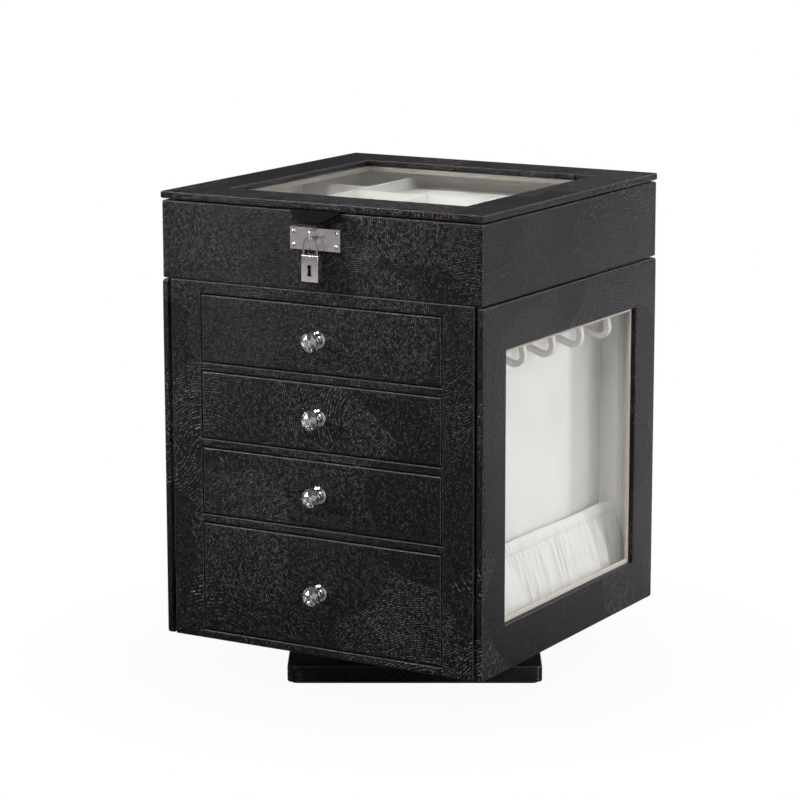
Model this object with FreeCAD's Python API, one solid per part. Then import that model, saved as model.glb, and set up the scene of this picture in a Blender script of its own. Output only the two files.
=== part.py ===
import FreeCAD, Part
import math
import os

# Rotating jewelry organizer, in millimetres.
# +Z is up, the drawers face -Y, and the origin is the centre of the base's
# underside, on the axis that the cabinet turns about.

V = FreeCAD.Vector

# Base and turntable
pad_thickness = 1.5
pad_inset = 3.0
plinth_size = 182.0
plinth_thickness = 12.0
plinth_corner_radius = 4.0
plinth_edge_round = 1.2
base_turn_deg = 30.0
bearing_height = 14.0
turntable_plate_corner_radius = 6.0
turntable_plate_thickness = 1.4
turntable_bore_radius = 26.0
ball_radius = 3.0
ball_circle_radius = 40.0
ball_count = 24
race_clearance = 0.12
race_wall = 3.2
race_split = 0.5
race_lip = 1.2
turntable_screw_spacing = 84.0
turntable_screw_edge = 8.0
screw_shank_radius = 2.0
screw_head_radius = 4.0
screw_head_height = 2.2
lower_screw_length = 9.0
upper_screw_length = 5.5
screw_hole_clearance = 0.1

# Cabinet body
upper_width = 258.6
body_depth = 266.0
door_stand_out = 0.7
bottom_rail_height = 6.1
deep_opening_height = 80.1
drawer_rail_height = 5.7
small_opening_height = 49.3
small_drawer_count = 3
top_rail_height = 8.8
frame_thickness = 6.0
back_thickness = 6.0
partition_thickness = 4.0
shelf_thickness = 4.0
compartment_depth = 32.2
front_overlap = 11.4
edge_round = 1.5
opening_edge_round = 1.2

# Drawers
drawer_gap = 0.7
drawer_stop_gap = 0.3
drawer_front_round = 1.8
drawer_side_gap = 0.6
drawer_running_gap = 0.3
drawer_head_gap = 3.0
drawer_rear_gap = 6.0
drawer_wall = 3.5
drawer_floor = 3.0

# Drawer knobs
knob_flange_radius = 5.9
knob_flange_height = 1.8
knob_neck_radius = 2.6
knob_neck_length = 2.8
knob_neck_flare = 0.8
knob_cup_taper = 0.7
knob_cup_radius = 4.4
knob_cup_height = 1.8
knob_stud_radius = 2.0
knob_stud_proud = 0.6
knob_hole_clearance = 0.2
knob_nut_radius = 4.5
knob_nut_thickness = 2.4
knob_nut_clearance = 0.05
crystal_radius = 7.2
crystal_length = 11.0
crystal_sides = 8

# Side doors
door_thickness = 4.7
door_window_lip = 4.2
door_window_border = 32.5
door_window_bottom_border = 33.1
door_window_top_border = 33.1
door_top_gap = 1.0
door_corner_radius = 2.2
door_rebate_margin = 9.7
door_liner_thickness = 3.2
door_liner_reveal = 2.5
door_glass_thickness = 1.5
door_glass_margin = 4.0
glazing_clearance = 0.2

# Side compartments
liner_wall = 1.6
hook_count = 5
hook_pitch = 44.0
hook_width = 5.0
hook_thickness = 4.4
hook_reach = 23.0
hook_saddle_radius = 4.4
hook_arm_slope_deg = 20.0
hook_finger_lean_deg = 12.0
hook_finger_length = 10.0
hook_height_above_floor = 195.3
hook_flange_width = 9.0
hook_flange_thickness = 1.4
hook_flange_height = 18.0
hook_flange_drop = 0.5
hook_edge_round = 0.9
pouch_height = 67.3
pouch_band_height = 9.5
pouch_mouth_depth = 7.2
pouch_foot_depth = 27.5
pouch_fabric_thickness = 1.3
pouch_band_thickness = 1.6
pouch_end_gap = 0.2
pouch_fold_count = 13

# Hinges, one size for the lid and both doors
leaf_thickness = 1.0
leaf_fold_gap = 0.6
leaf_reach = 5.4
hinge_length = 24.0
knuckle_radius = 1.8
knuckle_rear_gap = 0.3
knuckle_split = 0.2
hinge_pin_radius = 0.8
hinge_pin_clearance = 0.05
hinge_pin_head_radius = 1.3
hinge_pin_head_height = 0.5
door_hinge_inset = 40.0
lid_hinge_offset = 78.0
magnet_radius = 2.5
magnet_sunk_depth = 2.2
magnet_inset = 45.0
strike_radius = 2.9
strike_thickness = 1.0
magnet_gap = 0.3

# Jewellery tray and lid
upper_wall_height = 55.4
tray_wall_thickness = 6.0
tray_floor_thickness = 4.0
tray_liner_gap = 0.4
tray_liner_wall = 2.0
tray_liner_floor = 1.6
side_cell_width = 57.0
side_cell_rows = 3
front_cell_columns = 3
divider_drop = 4.0
roll_count = 7
roll_width = 14.4
roll_gap = 0.2
roll_height = 36.4
lid_gap = 1.2
lid_thickness = 5.2
lid_overhang = 0.8
lid_window_side_border = 34.2
lid_window_front_border = 37.0
lid_edge_round = 1.4
lid_glass_thickness = 2.0
lid_rebate_margin = 6.0
lid_liner_thickness = 3.0
lid_liner_gap = 1.0
lid_liner_reveal = 1.5
lid_seat_gap = 0.3

# Lid pull tab
tab_width = 39.4
tab_offset = -0.6
tab_thickness = 1.0
tab_bend_radius = 3.5
tab_droop_deg = 38.0
tab_tongue_length = 9.5
tab_tip_width = 17.0
tab_root_length = 6.4
tab_corner_radius = 4.5

# Lock
lock_offset = -1.6
plate_width = 40.2
plate_height = 15.4
plate_thickness = 1.0
plate_centre_below_wall_top = 18.8
staple_wire_radius = 0.75
staple_height = 6.5
staple_reach = 8.2
shackle_width = 12.2
shackle_strap_thickness = 1.5
shackle_strap_depth = 4.2
shackle_rise = 12.8
shackle_long_leg = 12.0
shackle_short_leg = 3.6
shackle_rest_gap = 0.25
shackle_hole_clearance = 0.08
padlock_width = 13.4
padlock_height = 18.5
padlock_thickness = 6.5
padlock_wall_gap = 2.0
padlock_edge_round = 0.5
keyhole_drop = 1.1
keyhole_radius = 1.7
keyhole_slot_half_width = 1.2
keyhole_foot_half_width = 1.7
keyhole_height = 8.0
keyhole_depth = 2.2
latch_hole_spare_depth = 0.4

# Levels
plinth_top = pad_thickness + plinth_thickness
cabinet_bottom = plinth_top + bearing_height
floor_top = cabinet_bottom + bottom_rail_height
lower_height = (bottom_rail_height + deep_opening_height + top_rail_height
                + small_drawer_count * (drawer_rail_height + small_opening_height))
lower_top = cabinet_bottom + lower_height
wall_top = lower_top + upper_wall_height
lid_bottom = wall_top + lid_gap
lid_top = lid_bottom + lid_thickness

# Places across and along the cabinet
front_y = -body_depth / 2
back_y = body_depth / 2
door_gap = 2 * leaf_thickness + leaf_fold_gap
door_outer_x = upper_width / 2 + door_stand_out
door_inner_x = door_outer_x - door_thickness
carcass_x = door_inner_x - door_gap
partition_outer_x = carcass_x - compartment_depth
partition_inner_x = partition_outer_x - partition_thickness
opening_x = partition_inner_x + front_overlap
frame_back_y = front_y + frame_thickness
back_inner_y = back_y - back_thickness
knuckle_y = back_y + knuckle_radius + knuckle_rear_gap

# Inside of a side compartment, which is lined on five sides
post_thickness = 6.4
liner_front_y = frame_back_y + post_thickness
liner_back_y = back_inner_y - post_thickness
backing_x = partition_outer_x + liner_wall
compartment_floor = floor_top + liner_wall
compartment_y = liner_back_y - liner_wall

# Inside of the tray
tray_x = upper_width / 2 - tray_wall_thickness
tray_y = body_depth / 2 - tray_wall_thickness
tray_floor_top = lower_top + tray_floor_thickness
liner_x = tray_x - tray_liner_gap
liner_y = tray_y - tray_liner_gap
liner_top = lid_bottom - lid_liner_thickness - lid_seat_gap
cell_x = liner_x - tray_liner_wall
cell_y = liner_y - tray_liner_wall
cell_floor = tray_floor_top + tray_liner_floor
cell_wall_x = -cell_x + side_cell_width
roll_bay_depth = roll_count * (roll_width + roll_gap) + roll_gap
roll_bay_y = cell_y - roll_bay_depth

# Lid windows
lid_window_x = upper_width / 2 + lid_overhang - lid_window_side_border
lid_window_y = body_depth / 2 + lid_overhang - lid_window_front_border - lid_overhang / 2

# Lock places
plate_centre_z = wall_top - plate_centre_below_wall_top
plate_front_y = front_y - plate_thickness
padlock_y = front_y - padlock_wall_gap - padlock_thickness / 2
shackle_top_z = plate_centre_z + staple_wire_radius + shackle_rest_gap + shackle_strap_thickness
padlock_top_z = shackle_top_z - shackle_rise


def block(x0, x1, y0, y1, z0, z1):
    """A box between two corners."""
    return Part.makeBox(x1 - x0, y1 - y0, z1 - z0, V(x0, y0, z0))


def centred_block(half_x, half_y, z0, z1):
    return block(-half_x, half_x, -half_y, half_y, z0, z1)


def edges_in_plane(shape, axis, value):
    """The edges that lie wholly in the plane where one coordinate has a value."""
    found = []
    for edge in shape.Edges:
        places = [vertex.Point[axis] for vertex in edge.Vertexes]
        if all(abs(place - value) < 1e-6 for place in places):
            found.append(edge)
    return found


def edges_along(shape, axis, length):
    """The straight edges of a given length that run along one axis."""
    found = []
    for edge in shape.Edges:
        ends = [vertex.Point for vertex in edge.Vertexes]
        if len(ends) == 2 and abs(abs(ends[1][axis] - ends[0][axis]) - length) < 1e-6:
            found.append(edge)
    return found


def rounded_box(x0, x1, y0, y1, z0, z1, axis, corner_radius):
    """A box whose four edges along one axis are rounded."""
    solid = block(x0, x1, y0, y1, z0, z1)
    length = (x1 - x0, y1 - y0, z1 - z0)[axis]
    return solid.makeFillet(corner_radius, edges_along(solid, axis, length))


def revolved(points, centre, axis):
    """A closed profile of (radius, height) points turned about an axis through centre."""
    corners = [V(radius, 0, height) for radius, height in points]
    face = Part.Face(Part.makePolygon(corners + corners[:1]))
    solid = face.revolve(V(0, 0, 0), V(0, 0, 1), 360)
    solid.Placement = FreeCAD.Placement(centre, FreeCAD.Rotation(V(0, 0, 1), axis))
    return solid


def mirrored(shape):
    """The same piece on the other side of the cabinet."""
    return shape.mirror(V(0, 0, 0), V(1, 0, 0))


def turned(shape, degrees):
    """The piece turned about the cabinet's spin axis."""
    copy = shape.copy()
    copy.rotate(V(0, 0, 0), V(0, 0, 1), degrees)
    return copy


def save(node, *solids):
    shape = solids[0] if len(solids) == 1 else Part.makeCompound(list(solids))
    if not shape.isValid():
        raise ValueError(node + " is not a valid shape")
    shape.exportStep(os.path.join("parts", node + ".step"))


# Base, with a soft pad below a wrapped board

def make_base_pad():
    half = plinth_size / 2 - pad_inset
    pad = rounded_box(-half, half, -half, half, 0, pad_thickness, 2, plinth_corner_radius)
    return turned(pad, base_turn_deg)


def make_base_plinth():
    half = plinth_size / 2
    plinth = rounded_box(-half, half, -half, half, pad_thickness, plinth_top, 2, plinth_corner_radius)
    rims = edges_in_plane(plinth, 2, pad_thickness) + edges_in_plane(plinth, 2, plinth_top)
    plinth = plinth.makeFillet(plinth_edge_round, rims)
    depth = lower_screw_length - turntable_plate_thickness
    for x, y in screw_places():
        hole = Part.makeCylinder(screw_shank_radius + screw_hole_clearance, depth, V(x, y, plinth_top - depth))
        plinth = plinth.cut(hole)
    return turned(plinth, base_turn_deg)


# Turntable: two pressed plates whose races hold a ring of loose balls

def screw_places():
    half = turntable_screw_spacing / 2
    return [(sx * half, sy * half) for sx in (-1, 1) for sy in (-1, 1)]


def turntable_plate(z0):
    half = turntable_screw_spacing / 2 + turntable_screw_edge
    plate = rounded_box(-half, half, -half, half, z0, z0 + turntable_plate_thickness, 2,
                        turntable_plate_corner_radius)
    cutters = [Part.makeCylinder(turntable_bore_radius, turntable_plate_thickness, V(0, 0, z0))]
    for x, y in screw_places():
        cutters.append(Part.makeCylinder(screw_shank_radius + screw_hole_clearance,
                                         turntable_plate_thickness, V(x, y, z0)))
    for cutter in cutters:
        plate = plate.cut(cutter)
    return plate


def ball_groove():
    ball_z = plinth_top + bearing_height / 2
    return Part.makeTorus(ball_circle_radius, ball_radius + race_clearance, V(0, 0, ball_z), V(0, 0, 1))


def make_lower_plate():
    """Flat plate with the inner race, which also carries the balls from below."""
    top_face = plinth_top + turntable_plate_thickness
    ball_z = plinth_top + bearing_height / 2
    inner = ball_circle_radius - race_lip - race_wall
    neck = ball_circle_radius - race_lip
    shoulder = ball_circle_radius + race_lip
    race = revolved([(inner, top_face), (shoulder, top_face), (shoulder, ball_z - race_lip - race_split),
                     (neck, ball_z - race_lip - race_split), (neck, ball_z + race_lip),
                     (inner, ball_z + race_lip)], V(0, 0, 0), V(0, 0, 1))
    plate = turntable_plate(plinth_top).fuse(race).cut(ball_groove()).removeSplitter()
    return turned(plate, base_turn_deg)


def make_upper_plate():
    """Flat plate with the outer race, which closes over the balls from above."""
    under_face = cabinet_bottom - turntable_plate_thickness
    ball_z = plinth_top + bearing_height / 2
    outer = ball_circle_radius + race_lip + race_split + race_wall
    neck = ball_circle_radius + race_lip + race_split
    shoulder = ball_circle_radius - race_lip + race_split
    race = revolved([(shoulder, under_face), (outer, under_face), (outer, ball_z - race_lip),
                     (neck, ball_z - race_lip), (neck, ball_z + race_lip + race_split),
                     (shoulder, ball_z + race_lip + race_split)], V(0, 0, 0), V(0, 0, 1))
    return turntable_plate(under_face).fuse(race).cut(ball_groove()).removeSplitter()


def make_balls():
    ball_z = plinth_top + bearing_height / 2
    balls = []
    for i in range(ball_count):
        angle = 2 * math.pi * i / ball_count
        centre = V(ball_circle_radius * math.cos(angle), ball_circle_radius * math.sin(angle), ball_z)
        balls.append(Part.makeSphere(ball_radius, centre))
    return balls


def pan_head_screw(x, y, z, direction, length):
    """A screw whose head seats at z and whose shank runs the way that direction points."""
    crown = screw_head_radius * 0.6
    profile = [(0, -screw_head_height), (crown, -screw_head_height), (screw_head_radius, -screw_head_height / 2),
               (screw_head_radius, 0), (screw_shank_radius, 0), (screw_shank_radius, length - screw_shank_radius),
               (0, length)]
    return revolved(profile, V(x, y, z), V(0, 0, direction))


def make_lower_screws():
    seat = plinth_top + turntable_plate_thickness
    tip_room = 0.2
    return [turned(pan_head_screw(x, y, seat, -1, lower_screw_length - tip_room), base_turn_deg)
            for x, y in screw_places()]


def make_upper_screws():
    seat = cabinet_bottom - turntable_plate_thickness
    tip_room = 0.2
    return [pan_head_screw(x, y, seat, 1, upper_screw_length - tip_room) for x, y in screw_places()]


# Cabinet carcass

def drawer_openings():
    """Bottom and top height of each drawer opening, from the top drawer down."""
    spans = []
    top = lower_top - top_rail_height
    for _ in range(small_drawer_count):
        spans.append((top - small_opening_height, top))
        top -= small_opening_height + drawer_rail_height
    spans.append((top - deep_opening_height, top))
    return spans


def make_bottom_board():
    board = block(-carcass_x, carcass_x, frame_back_y, back_inner_y, cabinet_bottom, floor_top)
    depth = upper_screw_length - turntable_plate_thickness
    for x, y in screw_places():
        board = board.cut(Part.makeCylinder(screw_shank_radius + screw_hole_clearance, depth,
                                            V(x, y, cabinet_bottom)))
    return board


def make_front_frame():
    frame = block(-carcass_x, carcass_x, front_y, frame_back_y, cabinet_bottom, lower_top)
    frame = frame.makeFillet(edge_round, edges_in_plane(frame, 1, front_y))
    for bottom, top in drawer_openings():
        frame = frame.cut(block(-opening_x, opening_x, front_y, frame_back_y, bottom, top))
    rims = [edge for edge in edges_in_plane(frame, 1, front_y)
            if abs(edge.CenterOfMass.x) < opening_x + 1e-6
            and cabinet_bottom + 2 * edge_round < edge.CenterOfMass.z < lower_top - 2 * edge_round]
    return frame.makeFillet(opening_edge_round, rims)


def make_back_panel():
    panel = block(-carcass_x, carcass_x, back_inner_y, back_y, cabinet_bottom, lower_top)
    return panel.makeFillet(edge_round, edges_in_plane(panel, 1, back_y))


def make_partitions():
    right = block(partition_inner_x, partition_outer_x, frame_back_y, back_inner_y, floor_top, lower_top)
    return [mirrored(right), right]


def make_drawer_shelves():
    """A shelf behind each rail, with its top level with the rail's top edge."""
    shelves = []
    for bottom, _ in drawer_openings()[:-1]:
        shelves.append(block(-partition_inner_x, partition_inner_x, frame_back_y, back_inner_y,
                             bottom - shelf_thickness, bottom))
    return shelves


def magnet_heights():
    return [cabinet_bottom + magnet_inset, lower_top - magnet_inset]


def magnet_y():
    return frame_back_y + post_thickness / 2


def make_side_posts():
    """Two uprights at the front and two at the back, which frame the side compartments."""
    front = block(partition_outer_x, carcass_x, frame_back_y, liner_front_y, floor_top, lower_top)
    for z in magnet_heights():
        pocket = Part.makeCylinder(magnet_radius, magnet_sunk_depth,
                                   V(carcass_x - magnet_sunk_depth, magnet_y(), z), V(1, 0, 0))
        front = front.cut(pocket)
    back = block(partition_outer_x, carcass_x, liner_back_y, back_inner_y, floor_top, lower_top)
    return [mirrored(front), front, mirrored(back), back]


# Side compartments

def make_compartment_liner():
    outer = block(partition_outer_x, carcass_x, liner_front_y, liner_back_y, floor_top, lower_top)
    inner = block(backing_x, carcass_x, liner_front_y + liner_wall, liner_back_y - liner_wall,
                  compartment_floor, lower_top - liner_wall)
    return outer.cut(inner)


def arc(a, b, c):
    return Part.Arc(a, b, c).toShape()


def line(a, b):
    return Part.makeLine(a, b)


def hook_outline(y):
    """Side view of a hook: a sloping arm, a round saddle and a finger that leans back."""
    drop = math.radians(hook_arm_slope_deg)
    lean = math.radians(90 + hook_finger_lean_deg)
    foot = compartment_floor + hook_height_above_floor
    middle_radius = hook_saddle_radius + hook_thickness / 2
    outer_radius = hook_saddle_radius + hook_thickness
    centre_out = hook_reach - outer_radius
    finger = V(math.cos(lean), 0, math.sin(lean)) * hook_finger_length

    def on_bend(radius, heading):
        return V(backing_x + centre_out + radius * math.sin(heading), y,
                 foot + outer_radius - radius * math.cos(heading))

    def at_backing(radius):
        start = on_bend(radius, -drop)
        return V(backing_x, y, start.z + (start.x - backing_x) * math.tan(drop))

    half_turn = (lean - drop) / 2
    tip = on_bend(middle_radius, lean) + finger * (1 + hook_thickness / 2 / hook_finger_length)
    edges = [
        line(at_backing(outer_radius), on_bend(outer_radius, -drop)),
        arc(on_bend(outer_radius, -drop), on_bend(outer_radius, half_turn), on_bend(outer_radius, lean)),
        line(on_bend(outer_radius, lean), on_bend(outer_radius, lean) + finger),
        arc(on_bend(outer_radius, lean) + finger, tip, on_bend(hook_saddle_radius, lean) + finger),
        line(on_bend(hook_saddle_radius, lean) + finger, on_bend(hook_saddle_radius, lean)),
        arc(on_bend(hook_saddle_radius, lean), on_bend(hook_saddle_radius, half_turn),
            on_bend(hook_saddle_radius, -drop)),
        line(on_bend(hook_saddle_radius, -drop), at_backing(hook_saddle_radius)),
        line(at_backing(hook_saddle_radius), at_backing(outer_radius)),
    ]
    return Part.Face(Part.Wire(edges))


def make_hook(y):
    near = y - hook_width / 2
    hook = hook_outline(near).extrude(V(0, hook_width, 0))
    sides = edges_in_plane(hook, 1, near) + edges_in_plane(hook, 1, near + hook_width)
    sides = [edge for edge in sides if edge.CenterOfMass.x > backing_x + 0.1]
    hook = hook.makeFillet(hook_edge_round, sides)
    foot = compartment_floor + hook_height_above_floor - hook_flange_drop
    half = hook_flange_width / 2
    flange = rounded_box(backing_x, backing_x + hook_flange_thickness, y - half, y + half,
                         foot, foot + hook_flange_height, 0, half - 0.2)
    return hook.fuse(flange).removeSplitter()


def make_necklace_hooks():
    hooks = []
    for i in range(hook_count):
        right = make_hook((i - (hook_count - 1) / 2) * hook_pitch)
        hooks += [mirrored(right), right]
    return hooks


def fold_edges():
    """Where each half fold of the pouch starts, a little unevenly along its width."""
    half = compartment_y - pouch_end_gap
    count = 2 * pouch_fold_count
    places = []
    for i in range(count + 1):
        uneven = 0.0 if i in (0, count) else 1.5 * math.sin(2.1 * i)
        places.append(-half + 2 * half * i / count + uneven)
    return places


def pouch_section(z, depth, wave, thickness):
    """A closed outline of the gathered fabric at one height, as a row of arcs."""
    face_x = backing_x + depth
    places = fold_edges()
    outer = []
    inner = []
    for i in range(len(places) - 1):
        swing = wave * (1 if i % 2 else -1) * (0.8 + 0.3 * math.sin(1.7 * i + 0.6))
        middle = (places[i] + places[i + 1]) / 2
        outer.append(arc(V(face_x, places[i], z), V(face_x + swing, middle, z), V(face_x, places[i + 1], z)))
        back_x = face_x - thickness
        inner.append(arc(V(back_x, places[i + 1], z), V(back_x + swing, middle, z), V(back_x, places[i], z)))
    far = line(V(face_x, places[-1], z), V(face_x - thickness, places[-1], z))
    near = line(V(face_x - thickness, places[0], z), V(face_x, places[0], z))
    return Part.Wire(outer + [far] + inner[::-1] + [near])


def make_pouch():
    """Fabric from the compartment's floor up to an elastic band near the backing."""
    def depth_at(height):
        return pouch_foot_depth + (pouch_mouth_depth - pouch_foot_depth) * height / pouch_height
    band_foot = pouch_height - pouch_band_height
    swell = pouch_height * 0.35
    levels = [
        (0.0, 1.0, pouch_fabric_thickness),
        (swell, 3.0, pouch_fabric_thickness),
        (band_foot, 1.0, pouch_fabric_thickness),
        (band_foot + 1.0, 0.5, pouch_band_thickness),
        (pouch_height, 0.5, pouch_band_thickness),
    ]
    wires = [pouch_section(compartment_floor + height, depth_at(height), wave, thickness)
             for height, wave, thickness in levels]
    return Part.makeLoft(wires, True, True)


# Side doors

def window_span():
    """Half width, bottom and top of a door's window."""
    half = body_depth / 2 - door_window_border
    bottom = cabinet_bottom + door_window_bottom_border
    top = lower_top - door_top_gap - door_window_top_border
    return half, bottom, top


def window_block(x0, x1, margin):
    half, bottom, top = window_span()
    return block(x0, x1, -half - margin, half + margin, bottom - margin, top + margin)


def make_door_frame():
    door = block(door_inner_x, door_outer_x, front_y, back_y, cabinet_bottom, lower_top - door_top_gap)
    door = door.makeFillet(door_corner_radius, edges_along(door, 0, door_thickness))
    door = door.makeFillet(edge_round, edges_in_plane(door, 0, door_outer_x))
    door = door.cut(window_block(door_inner_x, door_outer_x, 0))
    half, bottom, top = window_span()
    rims = [edge for edge in edges_in_plane(door, 0, door_outer_x)
            if abs(edge.CenterOfMass.y) < half + 1e-6 and bottom - 1e-6 < edge.CenterOfMass.z < top + 1e-6]
    door = door.makeFillet(opening_edge_round, rims)
    lip_back = door_outer_x - door_window_lip
    return door.cut(window_block(door_inner_x, lip_back, door_rebate_margin))


def make_door_liner():
    """Lined ring that shows past the window's edge and holds the glass in a rebate."""
    front = door_outer_x - door_window_lip
    back = front - door_liner_thickness
    ring = window_block(back, front, door_rebate_margin - glazing_clearance)
    ring = ring.cut(window_block(back, front, -door_liner_reveal))
    return ring.cut(window_block(back, back + door_glass_thickness, door_glass_margin - door_liner_reveal))


def make_door_glass():
    back = door_outer_x - door_window_lip - door_liner_thickness
    return window_block(back, back + door_glass_thickness,
                        door_glass_margin - door_liner_reveal - glazing_clearance)


def make_magnets():
    proud = door_gap - strike_thickness - magnet_gap
    right = [Part.makeCylinder(magnet_radius, magnet_sunk_depth + proud,
                               V(carcass_x - magnet_sunk_depth, magnet_y(), z), V(1, 0, 0))
             for z in magnet_heights()]
    return [mirrored(magnet) for magnet in right] + right


def make_strikes():
    return [Part.makeCylinder(strike_radius, strike_thickness,
                              V(door_inner_x - strike_thickness, magnet_y(), z), V(1, 0, 0))
            for z in magnet_heights()]


# Butt hinges, drawn closed about the Z axis with the leaves reaching towards -Y

def knuckle_spans():
    """Two outer knuckles on the fixed leaf and one middle knuckle on the moving leaf."""
    third = hinge_length / 3
    half = hinge_length / 2
    gap = knuckle_split / 2
    fixed = [(-half, -half + third - gap), (half - third + gap, half)]
    moving = [(-half + third + gap, half - third - gap)]
    return fixed, moving


def hinge_leaf(side, spans, others):
    """side is -1 for the leaf on the cabinet and +1 for the leaf on the door."""
    inner = side * leaf_fold_gap / 2
    outer = side * (leaf_fold_gap / 2 + leaf_thickness)
    reach = knuckle_radius + knuckle_rear_gap + leaf_reach
    leaf = block(min(inner, outer), max(inner, outer), -reach, 0, -hinge_length / 2, hinge_length / 2)
    for low, high in spans:
        leaf = leaf.fuse(Part.makeCylinder(knuckle_radius, high - low, V(0, 0, low)))
    for low, high in others:
        room = Part.makeCylinder(knuckle_radius + knuckle_split, high - low + 2 * knuckle_split,
                                 V(0, 0, low - knuckle_split))
        leaf = leaf.cut(room)
    bore = Part.makeCylinder(hinge_pin_radius + hinge_pin_clearance, 2 * hinge_length, V(0, 0, -hinge_length))
    return leaf.cut(bore).removeSplitter()


def hinge_pin():
    half = hinge_length / 2
    top = half + hinge_pin_head_height
    tip = hinge_pin_head_radius * 0.5
    profile = [(0, -top), (tip, -top), (hinge_pin_head_radius, -half), (hinge_pin_radius, -half),
               (hinge_pin_radius, half), (hinge_pin_head_radius, half), (tip, top), (0, top)]
    return revolved(profile, V(0, 0, 0), V(0, 0, 1))


def door_hinge_places():
    x = (door_inner_x + carcass_x) / 2
    heights = [cabinet_bottom + door_hinge_inset, lower_top - door_hinge_inset]
    return [FreeCAD.Placement(V(x, knuckle_y, z), FreeCAD.Rotation()) for z in heights]


def lid_hinge_places():
    z = (wall_top + lid_bottom) / 2
    lie_down = FreeCAD.Rotation(V(0, 1, 0), -90)
    return [FreeCAD.Placement(V(side * lid_hinge_offset, knuckle_y, z), lie_down) for side in (-1, 1)]


def placed(shape, placement):
    copy = shape.copy()
    copy.Placement = placement
    return copy


def make_hinges():
    fixed_spans, moving_spans = knuckle_spans()
    fixed = hinge_leaf(-1, fixed_spans, moving_spans)
    moving = hinge_leaf(1, moving_spans, fixed_spans)
    pin = hinge_pin()
    right = [[placed(piece, place) for place in door_hinge_places()] for piece in (fixed, moving, pin)]
    left = [[mirrored(piece) for piece in group] for group in right]
    lid = [[placed(piece, place) for place in lid_hinge_places()] for piece in (fixed, moving, pin)]
    save("hinge_fixed_leaves", *(lid[0] + left[0] + right[0]))
    save("hinge_pins", *(lid[2] + left[2] + right[2]))
    save("lid_hinge_leaves", *lid[1])
    save("left_door_hinge_leaves", *left[1])
    save("right_door_hinge_leaves", *right[1])


def lid_hinge_pocket(side, z0, z1):
    """Recess that lets a lid hinge leaf into the wall below it or the lid above it."""
    half = hinge_length / 2
    x = side * lid_hinge_offset
    return block(x - half, x + half, back_y - leaf_reach, back_y, z0, z1)


# Drawers

def make_drawer_front(bottom, top):
    half = opening_x - drawer_gap
    back = frame_back_y - drawer_stop_gap
    front = block(-half, half, front_y, back, bottom + drawer_gap, top - drawer_gap)
    front = front.makeFillet(drawer_front_round, edges_in_plane(front, 1, front_y))
    hole = Part.makeCylinder(knob_stud_radius + knob_hole_clearance, frame_thickness,
                             V(0, front_y, (bottom + top) / 2), V(0, 1, 0))
    return front.cut(hole)


def drawer_box_span(bottom, top):
    half = partition_inner_x - drawer_side_gap
    front = frame_back_y - drawer_stop_gap
    back = back_inner_y - drawer_rear_gap
    return half, front, back, bottom + drawer_running_gap, top - drawer_head_gap


def make_drawer_box(bottom, top):
    """Five lined boards: the walls stand on the floor, and the sides fit between front and back."""
    half, front, back, low, high = drawer_box_span(bottom, top)
    foot = low + drawer_floor
    floor = block(-half, half, front, back, low, foot)
    hole = Part.makeCylinder(knob_stud_radius + knob_hole_clearance, drawer_wall,
                             V(0, front, (bottom + top) / 2), V(0, 1, 0))
    front_wall = block(-half, half, front, front + drawer_wall, foot, high).cut(hole)
    back_wall = block(-half, half, back - drawer_wall, back, foot, high)
    side_wall = block(half - drawer_wall, half, front + drawer_wall, back - drawer_wall, foot, high)
    return [floor, front_wall, back_wall, mirrored(side_wall), side_wall]


def make_knob_mount(z):
    """Chrome flange, neck and cup in front of the drawer, with a stud and its nut behind."""
    neck_top = knob_flange_height + knob_neck_length
    stud_end = frame_thickness - drawer_stop_gap + drawer_wall + knob_nut_thickness + knob_stud_proud
    profile = [(0, -stud_end), (knob_stud_radius, -stud_end), (knob_stud_radius, 0),
               (knob_flange_radius, 0), (knob_flange_radius, knob_flange_height * 0.4),
               (knob_flange_radius * 0.8, knob_flange_height * 0.85), (knob_neck_radius * 1.3, knob_flange_height),
               (knob_neck_radius, knob_flange_height + knob_neck_flare), (knob_neck_radius, neck_top - knob_cup_taper),
               (knob_cup_radius, neck_top), (knob_cup_radius, neck_top + knob_cup_height),
               (0, neck_top + knob_cup_height)]
    mount = revolved(profile, V(0, front_y, z), V(0, -1, 0))
    nut_y = frame_back_y - drawer_stop_gap + drawer_wall
    nut_bore = knob_stud_radius + knob_nut_clearance
    nut = revolved([(nut_bore, 0), (knob_nut_radius, 0), (knob_nut_radius, knob_nut_thickness),
                    (nut_bore, knob_nut_thickness)], V(0, nut_y, z), V(0, 1, 0))
    return [mount, nut]


def make_crystal(z):
    """Cut crystal: rings of corners turned half a step from ring to ring, joined by flat facets."""
    seat = knob_flange_height + knob_neck_length + knob_cup_height
    rings = [(0.0, 0.57), (0.17, 0.83), (0.38, 1.0), (0.62, 1.0), (0.84, 0.76), (1.0, 0.44)]
    corners = []
    for step, (along, share) in enumerate(rings):
        ring = []
        for i in range(crystal_sides):
            angle = 2 * math.pi * (i + 0.5 * (step % 2)) / crystal_sides
            radius = crystal_radius * share
            ring.append(V(radius * math.cos(angle), front_y - seat - along * crystal_length,
                          z + radius * math.sin(angle)))
        corners.append(ring)
    facets = [Part.Face(Part.makePolygon(ring + ring[:1])) for ring in (corners[0], corners[-1])]
    for step in range(len(rings) - 1):
        a = corners[step]
        b = corners[step + 1]
        ahead = step % 2
        for i in range(crystal_sides):
            j = (i + 1) % crystal_sides
            k = j if ahead else i
            facets.append(Part.Face(Part.makePolygon([a[i], a[j], b[k], a[i]])))
            first = i if ahead else (i - 1) % crystal_sides
            facets.append(Part.Face(Part.makePolygon([b[first], b[(first + 1) % crystal_sides], a[i], b[first]])))
    shell = Part.Shell(facets)
    crystal = Part.Solid(shell)
    if crystal.Volume < 0:
        crystal.reverse()
    return crystal


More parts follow.
